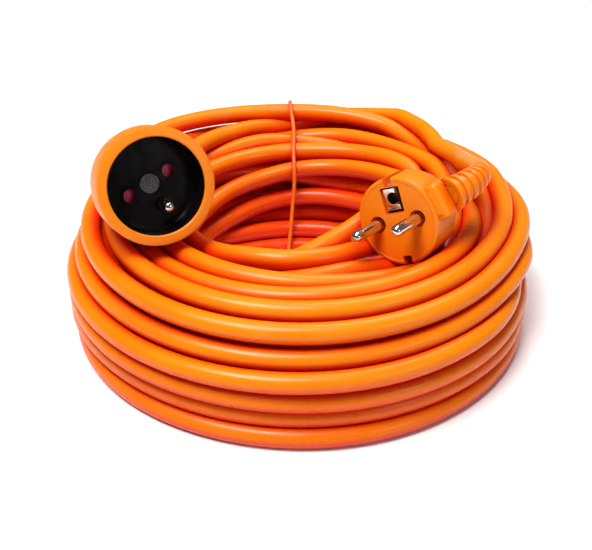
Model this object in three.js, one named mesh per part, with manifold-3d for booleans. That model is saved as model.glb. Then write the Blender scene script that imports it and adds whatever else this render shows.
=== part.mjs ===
// An orange mains extension cord: a hand-wound coil of round cord held by one wire tie,
// with its angled moulded plug and its inline socket lying on top of the coil.
// Millimetres, +Z up, -Y towards the front. The origin is on the floor, on the coil's axis.

import * as THREE from 'three';
import { mergeVertices } from 'three/addons/utils/BufferGeometryUtils.js';
import Module from 'manifold-3d';

// ---------------------------------------------------------------- driving dimensions

const GAP = 0.3;                 // clearance between neighbouring pieces
const CORD_R = 4.3;              // 8.6 mm sheath over three 1.5 mm2 cores
const CORE_R = 1.25;
const PIN_R = 2.4;               // 4.8 mm round pins
const PIN_SPREAD = 9.5;          // each pin from the centre line, 19 mm apart
const EARTH_OFFSET = 10;         // earth pin from the line between the contacts

const SOCKET = {
  rimCentre: [-57.5, -41.8, 81.4],
  facing: [0.366, -0.87, 0.331],
  contactLine: [0.792, 0.478, 0.381],
  rimR: 23.9,
  recessR: 19.8,
  recessDepth: 15,
  floorThickness: 3,
  length: 52,
  reliefEnd: 76,
};

const PLUG = {
  faceCentre: [38.7, -40.2, 65.1],
  facing: [-0.566, -0.816, 0.12],
  pinLine: [0.774, -0.476, 0.418],
  faceR: 18.4,
  depth: 20,
  pinLength: 19,
  neckTurn: 14,                  // degrees from the pin line towards the earth contact
  neckEnd: [21.3, 5.3, -9],
  reliefR: 7,
  reliefLength: 22,
};

const SHUTTER = { z: -18.5, thickness: 1.6, padR: 4.2, hubR: 4.6, holeR: 2.7 };
const PIVOT_R = 1.6;

// the coil's section, radius and height, anticlockwise from its inner foot
const COIL_SECTION = [
  [56, 0], [101, 0], [105, 3.5], [106.3, 9], [106.3, 30], [103.5, 38], [98, 44.5], [90, 49],
  [84, 50], [60, 50], [53, 46], [50, 38], [50, 5],
];
// the wire tie runs round the coil at the back; its outline is distance back and height
const TIE = {
  x: -6,
  wire: 1.8,
  outline: [
    [47.6, 0], [106.3, 0], [106.3, 38], [100.5, 47.5], [96.8, 62], [88.5, 68], [80.2, 62.6],
    [77, 53], [59, 53], [50.5, 48.5], [47.6, 39],
  ],
  track: { width: 2.6, depth: 2.3 },   // the groove it has pressed into the coil
};

// centre lines of the cord where it isn't coiled, chosen by hand
const SOCKET_LEAD = [
  [-85.3, 24.3, 56.2], [-89.7, 34.8, 52.3], [-90.5, 47, 50.8], [-86, 59, 52.5], [-77.5, 68.5, 55],
  [-66, 75.5, 57.3], [-52, 81, 58.8], [-36, 85.2, 59.6], [-19, 87.8, 59.8], [-2, 88.5, 59.8],
  [15, 87.2, 59.4], [31.5, 83, 58.4], [46.5, 75.5, 56.5],
];
const PLUG_LEAD = [
  [58.8, -41.3, 77.7], [66.5, -35.3, 79.5], [71.9, -27, 79.4], [74.1, -17.5, 77.5],
  [73.6, -7, 74], [72.8, 5, 70], [72, 17.5, 66.2], [70, 30, 63], [65.5, 43, 60.8],
];
const RING_STEP = 7;             // spacing of a swept cord's rings

const ROUND = 40;                // sides of a large turned piece
const FINE = 20;                 // sides of a small turned piece
const CORD_SIDES = 12;

// ---------------------------------------------------------------- materials

const finish = (color, roughness, metalness = 0) =>
  new THREE.MeshStandardMaterial({ color, roughness, metalness });

const SHEATH = finish(0xf07c0c, 0.35);
const ORANGE_PVC = finish(0xf08a14, 0.42);
const BLACK_INSERT = finish(0x0c0b0d, 0.35);
const GREY_CARRIER = finish(0x2a2b2e, 0.55);
const SHUTTER_RED = finish(0xc01848, 0.45);
const NICKEL = finish(0xd2d2d6, 0.2, 1);
const BRASS = finish(0xc8a24c, 0.3, 1);
const STEEL = finish(0xa8abb0, 0.35, 1);
const TIE_ORANGE = finish(0xd9661a, 0.5);
const BROWN = finish(0x5a3018, 0.5);
const BLUE = finish(0x1f5fc4, 0.5);
const GREEN_YELLOW = finish(0x6fae2c, 0.5);

// ---------------------------------------------------------------- solids and cuts

const wasm = await Module();
wasm.setup();

/** Turns a closed geometry into a solid, after merging its corners and dropping empty faces. */
function solid(geometry) {
  const bare = geometry.clone();
  bare.deleteAttribute('normal');
  bare.deleteAttribute('uv');
  const merged = mergeVertices(bare, 1e-4);
  const index = merged.index.array;
  const faces = [];
  for (let i = 0; i < index.length; i += 3) {
    const [a, b, c] = [index[i], index[i + 1], index[i + 2]];
    if (a !== b && b !== c && c !== a) faces.push(a, b, c);
  }
  return new wasm.Manifold(new wasm.Mesh({
    numProp: 3,
    vertProperties: Float32Array.from(merged.attributes.position.array),
    triVerts: Uint32Array.from(faces),
  }));
}

function geometryOf(manifold) {
  const { vertProperties, triVerts } = manifold.getMesh();
  const geometry = new THREE.BufferGeometry();
  geometry.setAttribute('position', new THREE.BufferAttribute(vertProperties, 3));
  geometry.setIndex(new THREE.BufferAttribute(triVerts, 1));
  geometry.computeVertexNormals();
  return geometry;
}

/** Turns an outline of [radius, height] points about the Z axis, whichever way round they run. */
function revolve(outline, sides = FINE) {
  const points = outline.map(([r, z]) => new THREE.Vector2(r, z));
  if (THREE.ShapeUtils.area(points) < 0) points.reverse();
  const onAxis = points[0].x === 0 && points.at(-1).x === 0;
  if (!onAxis) points.push(points[0].clone());
  return new THREE.LatheGeometry(points, sides).rotateX(Math.PI / 2);
}

const rod = (r, from, to, sides = FINE) => revolve([[0, from], [r, from], [r, to], [0, to]], sides);

const block = (x, y, z, at) => new THREE.BoxGeometry(x, y, z).translate(...at);

function rodBetween(r, from, to) {
  const start = new THREE.Vector3(...from);
  const along = new THREE.Vector3(...to).sub(start);
  const turn = new THREE.Quaternion();
  turn.setFromUnitVectors(new THREE.Vector3(0, 0, 1), along.clone().normalize());
  return rod(r, 0, along.length()).applyQuaternion(turn).translate(...from);
}

const cut = (body, ...tools) => tools.reduce((rest, tool) => rest.subtract(solid(tool)), body);

const join = (body, ...others) => others.reduce((sum, other) => sum.add(solid(other)), body);

function piece(name, shape, material, parent) {
  const geometry = shape.isBufferGeometry ? geometryOf(solid(shape)) : geometryOf(shape);
  const mesh = new THREE.Mesh(geometry, material);
  mesh.name = name;
  parent.add(mesh);
  return mesh;
}

/** A group at a point, with its Z along `facing` and its X as near as can be along `along`. */
function placedGroup(origin, facing, along) {
  const z = new THREE.Vector3(...facing).normalize();
  const x = new THREE.Vector3(...along);
  x.addScaledVector(z, -x.dot(z)).normalize();
  const y = new THREE.Vector3().crossVectors(z, x);
  const group = new THREE.Group();
  group.setRotationFromMatrix(new THREE.Matrix4().makeBasis(x, y, z));
  group.position.set(...origin);
  group.updateMatrixWorld(true);
  return group;
}

// ---------------------------------------------------------------- curves

const curveThrough = (points) =>
  new THREE.CatmullRomCurve3(points.map((p) => new THREE.Vector3(...p)), false, 'centripetal');

/** The stretch of a curve between two distances along it. */
class Stretch extends THREE.Curve {
  constructor(curve, from, to) {
    super();
    this.whole = curve;
    this.from = from;
    this.to = to;
  }

  getPoint(t, target = new THREE.Vector3()) {
    const distance = this.from + (this.to - this.from) * t;
    return target.copy(this.whole.getPointAt(distance / this.whole.getLength()));
  }

  get steps() {
    return Math.max(3, Math.round((this.to - this.from) / RING_STEP));
  }
}

function roundSection(radius, sides) {
  const corners = [];
  for (let i = 0; i < sides; i += 1) {
    const angle = (2 * Math.PI * i) / sides;
    corners.push(new THREE.Vector2(radius * Math.cos(angle), radius * Math.sin(angle)));
  }
  return new THREE.Shape(corners);
}

const sweep = (curve, radius, sides, steps = curve.steps) =>
  new THREE.ExtrudeGeometry(roundSection(radius, sides), { extrudePath: curve, steps });

/** Bends a shape that stands along Z so that Z follows the curve and X leans towards `up`. */
function bendAlong(geometry, curve, up) {
  const length = curve.getLength();
  const position = geometry.attributes.position;
  for (let i = 0; i < position.count; i += 1) {
    const along = Math.max(0, position.getZ(i) / length);
    const tangent = curve.getTangentAt(along);
    const x = up.clone().addScaledVector(tangent, -up.dot(tangent)).normalize();
    const y = new THREE.Vector3().crossVectors(tangent, x);
    const at = curve.getPointAt(along);
    at.addScaledVector(x, position.getX(i)).addScaledVector(y, position.getY(i));
    position.setXYZ(i, at.x, at.y, at.z);
  }
  return geometry;
}

/** The outline of a ribbed sleeve that tapers from one radius to another. */
function ribbedSleeve(bore, rootR, tipR, from, to, ribs) {
  const pitch = (to - from) / ribs;
  const outer = [];
  const inner = [];
  for (let i = 0; i < ribs; i += 1) {
    const r = rootR + ((tipR - rootR) * i) / (ribs - 1);
    const z = from + i * pitch;
    outer.push([r, z], [r, z + pitch * 0.58]);
    if (i < ribs - 1) outer.push([r - 1, z + pitch * 0.62], [r - 1, z + pitch]);
    inner.unshift([bore, z]);
  }
  return [...outer, [tipR - 0.2, to], [bore, to], ...inner];
}

// ---------------------------------------------------------------- inline socket

function buildSocket(parent) {
  const { rimR, recessR, recessDepth, floorThickness, length, reliefEnd } = SOCKET;
  const group = placedGroup(SOCKET.rimCentre, SOCKET.facing, SOCKET.contactLine);
  parent.add(group);

  const shell = [
    [recessR, -1.4], [21.6, -1.4], [21.6, -23.5], [19, -25.5], [16.6, -31.5], [13.6, -39], [11, -48.5],
    [6.3, -48.5], [6.3, -length], [13.2, -length], [14.2, -45], [16.9, -38], [20.4, -30], [22.9, -22],
    [rimR, -15], [rimR, -0.8], [rimR - 0.8, 0], [recessR, 0],
  ];
  piece('socket_housing', revolve(shell, ROUND), ORANGE_PVC, group);

  const floor = -recessDepth;
  const cup = revolve([
    [0, floor - floorThickness], [21.3, floor - floorThickness], [21.3, -1.7], [recessR, -1.7],
    [recessR, floor], [0, floor],
  ], ROUND);
  const hole = (r, x, y) => rod(r, -30, -10).translate(x, y, 0);
  const insert = cut(
    solid(cup),
    hole(SHUTTER.holeR, -PIN_SPREAD, 0),
    hole(SHUTTER.holeR, PIN_SPREAD, 0),
    hole(PIN_R + GAP, 0, -EARTH_OFFSET),
    hole(PIVOT_R + GAP, 0, 0),
  );
  piece('socket_insert', insert, BLACK_INSERT, group);

  const pivot = revolve([
    [0, -25], [PIVOT_R, -25], [PIVOT_R, floor + GAP], [4.2, floor + GAP], [4.2, floor + 0.9],
    [3.7, floor + 1.3], [0, floor + 1.3],
  ]);
  piece('shutter_pivot', pivot, GREY_CARRIER, group);

  const { z: top, thickness, padR, hubR } = SHUTTER;
  const under = top - thickness;
  const plate = join(
    solid(rod(hubR, under, top)),
    rod(padR, under, top).translate(PIN_SPREAD, 0, 0),
    rod(padR, under, top).translate(-PIN_SPREAD, 0, 0),
    block(2 * PIN_SPREAD, 5, thickness, [0, 0, (top + under) / 2]),
  );
  piece('shutter', cut(plate, rod(PIVOT_R + GAP, under - 1, top + 1)), SHUTTER_RED, group);

  const turns = 2;
  const springTop = under - 0.5;
  const coilPoints = [];
  for (let i = 0; i <= turns * 14; i += 1) {
    const angle = (2 * Math.PI * i) / 14;
    coilPoints.push([3.1 * Math.cos(angle), 3.1 * Math.sin(angle), springTop - 0.3 - (0.8 * i) / 14]);
  }
  piece('shutter_spring', sweep(curveThrough(coilPoints), 0.28, 6, turns * 14), STEEL, group);

  const carrier = cut(
    solid(revolve([[0, -35], [14.2, -35], [17.5, -27], [17.5, -23.2], [0, -23.2]], ROUND)),
    rod(3.5, -40, -20).translate(PIN_SPREAD, 0, 0),
    rod(3.5, -40, -20).translate(-PIN_SPREAD, 0, 0),
    rod(3.5, -40, -20).translate(0, -EARTH_OFFSET, 0),
    rod(PIVOT_R + GAP, -26, -20),
  );
  piece('contact_carrier', carrier, GREY_CARRIER, group);

  const sleeve = revolve([
    [PIN_R - 0.05, -21.5], [PIN_R - 0.05, -34], [0, -34], [0, -36.5], [1.35, -36.5], [1.35, -39],
    [2.1, -39], [2.1, -35.6], [3.2, -35], [3.2, -21.5],
  ]);
  for (const [name, x] of [['live_contact', PIN_SPREAD], ['neutral_contact', -PIN_SPREAD]]) {
    const slit = block(0.8, 8, 11, [0, 0, -25]);
    piece(name, cut(solid(sleeve), slit).translate(x, 0, 0), BRASS, group);
  }

  const earthPin = revolve([
    [0, -36.5], [1.35, -36.5], [1.35, -39], [2.1, -39], [2.1, -36.4], [PIN_R, -36], [PIN_R, -26],
    [3.2, -25.6], [3.2, -23.6], [PIN_R, -23.2], [PIN_R, -3.4], [2.05, -2.1], [1.2, -1.3], [0, -1],
  ]);
  piece('socket_earth_pin', earthPin.translate(0, -EARTH_OFFSET, 0), NICKEL, group);

  const coreStart = -39 - GAP;
  const coreEnd = -49.7;
  const cores = [
    ['socket_core_brown', BROWN, [PIN_SPREAD, 0], 30],
    ['socket_core_blue', BLUE, [-PIN_SPREAD, 0], 150],
    ['socket_core_earth', GREEN_YELLOW, [0, -EARTH_OFFSET], 270],
  ];
  for (const [name, material, [x, y], turn] of cores) {
    const angle = THREE.MathUtils.degToRad(turn);
    const [endX, endY] = [2.1 * Math.cos(angle), 2.1 * Math.sin(angle)];
    const path = curveThrough([
      [x, y, coreStart], [x * 0.88, y * 0.88, coreStart - 1.8], [(x + endX) / 2, (y + endY) / 2, -43.4],
      [endX * 1.2, endY * 1.2, -46.6], [endX, endY, coreEnd],
    ]);
    piece(name, sweep(path, CORE_R, 8, 10), material, group);
  }

  const reliefFoot = [
    [CORD_R + GAP, -48.4], [6.2, -46.6], [7.6, -46.6], [7.6, -48.2], [6, -48.2], [6, -length - GAP],
  ];
  const ribs = ribbedSleeve(CORD_R + GAP, 8, 5.4, length + GAP, reliefEnd, 6).slice(0, -1);
  const relief = [...reliefFoot, ...ribs.map(([r, z]) => [r, -z])];
  piece('socket_strain_relief', revolve(relief, FINE + 4), ORANGE_PVC, group);
  piece('socket_cord_end', rod(CORD_R, -reliefEnd, -50, CORD_SIDES), SHEATH, group);
}

// ---------------------------------------------------------------- angled plug

function buildPlug(parent) {
  const { faceR, depth, pinLength, reliefR, reliefLength } = PLUG;
  const group = placedGroup(PLUG.faceCentre, PLUG.facing, PLUG.pinLine);
  parent.add(group);

  const exit = curveThrough(PLUG_LEAD);
  const toPlug = group.matrixWorld.clone().invert();
  const disc = revolve([
    [0, -depth], [14, -depth], [16.8, -depth + 1.5], [faceR, -14], [faceR, -0.8], [faceR - 0.8, 0], [0, 0],
  ], ROUND);
  const neckBox = block(22, 15.5, 13.5, [11, 0, -8.4]);
  neckBox.rotateZ(THREE.MathUtils.degToRad(PLUG.neckTurn));
  const notch = (y) => block(4, 4, 15, [0, y, -6]);
  const foot = (y) => block(4, 3.2, 2.4, [0, y, -12]);
  const body = cut(
    join(solid(disc), neckBox),
    sweep(new Stretch(exit, 0, 30), reliefR + 0.5, FINE).applyMatrix4(toPlug),
    rodBetween(5.2, [8, 2, -12], PLUG.neckEnd),
    rod(PIN_R + GAP, -10, 1).translate(PIN_SPREAD, 0, 0),
    rod(PIN_R + GAP, -10, 1).translate(-PIN_SPREAD, 0, 0),
    rod(3.5, -1.6, 1).translate(PIN_SPREAD, 0, 0),
    rod(3.5, -1.6, 1).translate(-PIN_SPREAD, 0, 0),
    block(9, 11, 6, [0, 9, -2.5]),
    rod(13.6, -17.4, -4.6, ROUND),
    notch(faceR - 1.7),
    notch(-faceR + 1.7),
    foot(13.6),
    foot(-13.6),
  );
  piece('plug_body', body, ORANGE_PVC, group);

  const bridge = cut(
    solid(rod(13.2, -9.4, -4.9, ROUND)),
    rod(PIN_R + GAP, -10, -4).translate(PIN_SPREAD, 0, 0),
    rod(PIN_R + GAP, -10, -4).translate(-PIN_SPREAD, 0, 0),
    rod(3.7, -10, -4).translate(0, EARTH_OFFSET - 0.4, 0),
    block(8, 8, 6, [0, 13, -7]),
  );
  piece('plug_bridge', bridge, GREY_CARRIER, group);

  const pin = revolve([
    [0, -10.8], [1.35, -10.8], [1.35, -12.4], [2.1, -12.4], [2.1, -11], [3.3, -10.9], [3.3, -9.7],
    [PIN_R, -9.7], [PIN_R, pinLength - 2.2], [2.1, pinLength - 1.1], [1.3, pinLength - 0.3], [0, pinLength],
  ]);
  piece('plug_pin_left', pin.clone().translate(-PIN_SPREAD, 0, 0), NICKEL, group);
  piece('plug_pin_right', pin.clone().translate(PIN_SPREAD, 0, 0), NICKEL, group);

  const earthSleeve = join(
    solid(block(7, 9.4, 3.2, [-0.6, 9.3, -2.8])),
    rod(3.3, -16.2, -4.2).translate(0, EARTH_OFFSET - 0.4, 0),
  );
  const earthBore = rod(2.5, -15, 0).translate(0, EARTH_OFFSET - 0.4, 0);
  piece('plug_earth_contact', cut(earthSleeve, earthBore), NICKEL, group);

  for (const [name, sign] of [['earth_clip_upper', 1], ['earth_clip_lower', -1]]) {
    const strip = block(3.4, 0.7, 10.5, [0, sign * 15.1, -7.4]);
    const tab = block(3.4, 1.9, 0.8, [0, sign * 14.3, -12]);
    piece(name, join(solid(strip), tab), STEEL, group);
  }

  const cores = [
    ['plug_core_brown', BROWN, [
      [PIN_SPREAD, 0, -12.7], [10.2, -0.6, -14.6], [13, 0.2, -12.8], [16, 1.8, -10.8],
    ]],
    ['plug_core_blue', BLUE, [
      [-PIN_SPREAD, 0, -12.7], [-8.4, 1, -14.6], [-2, 3.2, -14.6], [5, 3.6, -13.6], [10, 4.4, -12.6],
      [14.6, 3.9, -10], [17.8, 4.6, -7.6],
    ]],
    ['plug_core_earth', GREEN_YELLOW, [
      [4.8, 8.2, -12], [9, 7.1, -11.8], [13, 6.6, -11], [16.1, 6.5, -9.9],
    ]],
  ];
  for (const [name, material, points] of cores) {
    piece(name, sweep(curveThrough(points), CORE_R, 8, 4 * points.length - 6), material, group);
  }

  const sleeve = ribbedSleeve(CORD_R + GAP, reliefR, 5.3, GAP, reliefLength, 6);
  const bent = bendAlong(revolve(sleeve, FINE + 4), exit, new THREE.Vector3(0, 0, 1));
  piece('plug_strain_relief', bent, ORANGE_PVC, parent);
  const cordEnd = sweep(new Stretch(exit, GAP, reliefLength), CORD_R, CORD_SIDES, 8);
  piece('plug_cord_end', cordEnd, SHEATH, parent);
}

// ---------------------------------------------------------------- cord, coil and tie

function buildCord(parent) {
  const socketLead = curveThrough(SOCKET_LEAD);
  const plugLead = curveThrough(PLUG_LEAD);
  const plugFrom = PLUG.reliefLength + GAP;
  const leads = [
    ['socket_lead', new Stretch(socketLead, GAP, socketLead.getLength())],
    ['plug_lead', new Stretch(plugLead, plugFrom, plugLead.getLength())],
  ];
  for (const [name, curve] of leads) {
    piece(name, sweep(curve, CORD_R, CORD_SIDES), SHEATH, parent);
  }

  const seat = placedGroup(PLUG.faceCentre, PLUG.facing, PLUG.pinLine).matrixWorld;
  const plugSeat = rod(PLUG.faceR + 0.5, -PLUG.depth - 0.5, 1, ROUND).applyMatrix4(seat);
  const coilR = Math.max(...COIL_SECTION.map(([r]) => r));
  const { width, depth } = TIE.track;
  const trackBelow = block(width, coilR, 2 * depth, [TIE.x, coilR / 2 + 10, 0]);
  const trackBehind = block(width, 2 * depth, 90, [TIE.x, coilR, 0]);
  const coil = cut(solid(revolve(COIL_SECTION, 72)), plugSeat, trackBelow, trackBehind);
  piece('cord_coil', coil, SHEATH, parent);
}

/** Moves each side of an anticlockwise outline inwards by a distance. */
function inset(outline, distance) {
  const corners = outline.map(([u, v]) => new THREE.Vector2(u, v));
  return corners.map((corner, i) => {
    const before = corner.clone().sub(corners.at(i - 1)).normalize();
    const after = corners[(i + 1) % corners.length].clone().sub(corner).normalize();
    const inwards = new THREE.Vector2(-before.y, before.x);
    const middle = new THREE.Vector2(-after.y, after.x).add(inwards).normalize();
    return corner.clone().addScaledVector(middle, distance / middle.dot(inwards));
  });
}

function buildTie(parent) {
  const loop = new THREE.Shape(TIE.outline.map(([y, z]) => new THREE.Vector2(y, z)));
  loop.holes.push(new THREE.Path(inset(TIE.outline, TIE.wire).reverse()));
  const band = new THREE.ExtrudeGeometry(loop, { depth: TIE.wire, bevelEnabled: false });
  band.applyMatrix4(new THREE.Matrix4().makeBasis(
    new THREE.Vector3(0, 1, 0),
    new THREE.Vector3(0, 0, 1),
    new THREE.Vector3(1, 0, 0),
  ));
  piece('coil_tie', band.translate(TIE.x - TIE.wire / 2, 0, 0), TIE_ORANGE, parent);
}

// ---------------------------------------------------------------- the whole extension cord

const extensionCord = new THREE.Group();
buildSocket(extensionCord);
buildPlug(extensionCord);
buildCord(extensionCord);
buildTie(extensionCord);

export default extensionCord;
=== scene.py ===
"""An orange mains extension cord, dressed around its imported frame.

A hand-wound coil of round sheathed cord lies flat on the floor. Its inline socket rests on the
front left and its angled plug on the front right, and a wire tie goes round the back.
"""

import logging
import math
from dataclasses import dataclass
from enum import Enum
from typing import Iterable, Sequence

import bpy
import numpy as np
from mathutils import Matrix, Vector


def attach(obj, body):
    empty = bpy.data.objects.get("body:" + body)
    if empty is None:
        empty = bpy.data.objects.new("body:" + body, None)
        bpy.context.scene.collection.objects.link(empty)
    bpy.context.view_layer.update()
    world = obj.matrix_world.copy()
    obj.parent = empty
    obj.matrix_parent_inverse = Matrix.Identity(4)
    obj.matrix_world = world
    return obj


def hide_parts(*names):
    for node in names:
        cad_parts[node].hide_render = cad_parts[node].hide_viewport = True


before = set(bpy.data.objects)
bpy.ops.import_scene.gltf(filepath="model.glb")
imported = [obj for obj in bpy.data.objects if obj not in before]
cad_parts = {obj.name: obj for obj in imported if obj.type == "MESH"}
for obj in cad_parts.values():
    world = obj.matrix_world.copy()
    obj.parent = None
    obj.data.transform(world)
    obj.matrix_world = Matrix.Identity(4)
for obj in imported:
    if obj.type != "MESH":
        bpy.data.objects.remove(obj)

LOG = logging.getLogger("extension_cord")
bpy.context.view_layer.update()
BODY = "cordset"
MM = 0.001

Point = Sequence[float]
Colour = tuple[float, float, float, float]


# ---------------------------------------------------------------- working helpers


class Ends(Enum):
    """How the two ends of a turned outline are closed."""

    CAPPED = "capped"
    RING = "ring"


def deselect_all() -> None:
    """Leaves object mode with nothing selected."""
    if bpy.context.object and bpy.context.object.mode != "OBJECT":
        bpy.ops.object.mode_set(mode="OBJECT")
    bpy.ops.object.select_all(action="DESELECT")


def pick(piece: bpy.types.Object) -> None:
    """Makes one piece the only selected and active one."""
    deselect_all()
    piece.select_set(True)
    bpy.context.view_layer.objects.active = piece


def settle(piece: bpy.types.Object) -> None:
    """Moves a piece's place, turn and size into its mesh."""
    pick(piece)
    bpy.ops.object.transform_apply(location=True, rotation=True, scale=True)


def apply_modifier(piece: bpy.types.Object, kind: str, **values: object) -> None:
    """Adds a modifier with these values and applies it.

    Args:
        piece: The piece that it shapes.
        kind: The modifier's type.
        values: Its settings.
    """
    pick(piece)
    modifier = piece.modifiers.new(kind.lower(), kind)
    for name, value in values.items():
        setattr(modifier, name, value)
    bpy.ops.object.modifier_apply(modifier=modifier.name)


def round_edges(piece: bpy.types.Object, width: float, segments: int = 2, angle: float = 38) -> None:
    """Rounds the sharp edges of a piece.

    Args:
        piece: The piece.
        width: The rounding's width in millimetres.
        segments: Steps in the rounding.
        angle: Edges sharper than this, in degrees, are rounded.
    """
    apply_modifier(
        piece, "BEVEL", width=width * MM, segments=segments, limit_method="ANGLE",
        angle_limit=math.radians(angle), use_clamp_overlap=True, harden_normals=False,
    )


def smooth(piece: bpy.types.Object, angle: float = 40) -> None:
    """Shades a piece smooth, apart from edges sharper than an angle in degrees."""
    pick(piece)
    bpy.ops.object.shade_smooth_by_angle(angle=math.radians(angle))


def turned(
    name: str, outline: Sequence[Point], sides: int = 96, ends: Ends = Ends.CAPPED,
) -> bpy.types.Object:
    """Turns an outline about Z by extruding and resizing a ring of edges.

    Args:
        name: The piece's name.
        outline: Its radius and height at each step, in millimetres.
        sides: Sides of the ring.
        ends: Whether flat caps or a last band of faces close it.

    Returns:
        The closed piece, standing on the Z axis.
    """
    deselect_all()
    radius, height = outline[0]
    bpy.ops.mesh.primitive_circle_add(vertices=sides, radius=radius * MM, location=(0, 0, height * MM))
    piece = bpy.context.object
    piece.name = piece.data.name = name
    settle(piece)
    bpy.ops.object.mode_set(mode="EDIT")
    bpy.ops.mesh.select_all(action="SELECT")
    for next_radius, next_height in outline[1:]:
        rise = (next_height - height) * MM
        bpy.ops.mesh.extrude_region_move(TRANSFORM_OT_translate={"value": (0, 0, rise)})
        grow = next_radius / radius
        bpy.ops.transform.resize(value=(grow, grow, 1), center_override=(0, 0, next_height * MM))
        radius, height = next_radius, next_height
    bpy.ops.mesh.select_all(action="DESELECT")
    bpy.ops.mesh.select_non_manifold()
    if ends is Ends.RING:
        bpy.ops.mesh.bridge_edge_loops()
    else:
        bpy.ops.mesh.fill_holes(sides=0)
    bpy.ops.mesh.select_all(action="SELECT")
    bpy.ops.mesh.normals_make_consistent(inside=False)
    bpy.ops.object.mode_set(mode="OBJECT")
    return piece


def rod(radius: float, low: float, high: float, at: Point = (0, 0), sides: int = 64) -> bpy.types.Object:
    """A plain round rod along Z, which serves to cut or to join.

    Args:
        radius: Its radius in millimetres.
        low: The height of its lower end.
        high: The height of its upper end.
        at: Where its axis stands.
        sides: Sides of the rod.

    Returns:
        The rod.
    """
    piece = turned("rod", [(radius, low), (radius, high)], sides)
    piece.location = (at[0] * MM, at[1] * MM, 0)
    settle(piece)
    return piece


def block(size: Point, at: Point, turn: float = 0, rounding: float = 0) -> bpy.types.Object:
    """A block turned about Z, which serves to cut or to join.

    Args:
        size: Its three sides in millimetres.
        at: Its middle in millimetres, before it is turned.
        turn: Degrees about Z.
        rounding: Width of its rounded edges in millimetres.

    Returns:
        The block.
    """
    deselect_all()
    bpy.ops.mesh.primitive_cube_add(size=1, location=[a * MM for a in at], scale=[s * MM for s in size])
    piece = bpy.context.object
    settle(piece)
    if rounding:
        round_edges(piece, rounding, 4, 60)
    piece.rotation_euler = (0, 0, math.radians(turn))
    settle(piece)
    return piece


def combine(piece: bpy.types.Object, operation: str, *others: bpy.types.Object) -> None:
    """Joins other solids to a piece, or cuts them from it, and removes them.

    Args:
        piece: The piece that is kept.
        operation: UNION or DIFFERENCE.
        others: The solids that are used up.
    """
    for other in others:
        apply_modifier(piece, "BOOLEAN", operation=operation, object=other, solver="EXACT")
        bpy.data.objects.remove(other)


@dataclass(frozen=True)
class Place:
    """Where a connector lies: its origin in millimetres, the way it faces, and its own X."""

    origin: Point
    facing: Point
    along: Point

    def matrix(self) -> Matrix:
        """The matrix from the connector's own axes to the frame."""
        z = Vector(self.facing).normalized()
        x = Vector(self.along)
        x = (x - z * x.dot(z)).normalized()
        y = z.cross(x)
        turn = Matrix((x, y, z)).transposed().to_4x4()
        return Matrix.Translation(Vector(self.origin) * MM) @ turn

    def put(self, piece: bpy.types.Object) -> None:
        """Moves a piece from the connector's axes into the frame."""
        piece.matrix_world = self.matrix()
        bpy.context.view_layer.update()
        settle(piece)


SOCKET_PLACE = Place((-57.5, -41.8, 81.4), (0.366, -0.87, 0.331), (0.792, 0.478, 0.381))
PLUG_PLACE = Place((38.7, -40.2, 65.1), (-0.566, -0.816, 0.12), (0.774, -0.476, 0.418))


# ---------------------------------------------------------------- finishes


def new_socket(group: bpy.types.NodeTree, name: str, way: str, kind: str, value: object = None) -> None:
    """Adds a named socket to a node group.

    Args:
        group: The node group.
        name: The socket's name.
        way: INPUT or OUTPUT.
        kind: The socket's type.
        value: Its first value, if it has one.
    """
    socket = group.interface.new_socket(name=name, in_out=way, socket_type=kind)
    if value is not None:
        socket.default_value = value


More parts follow.
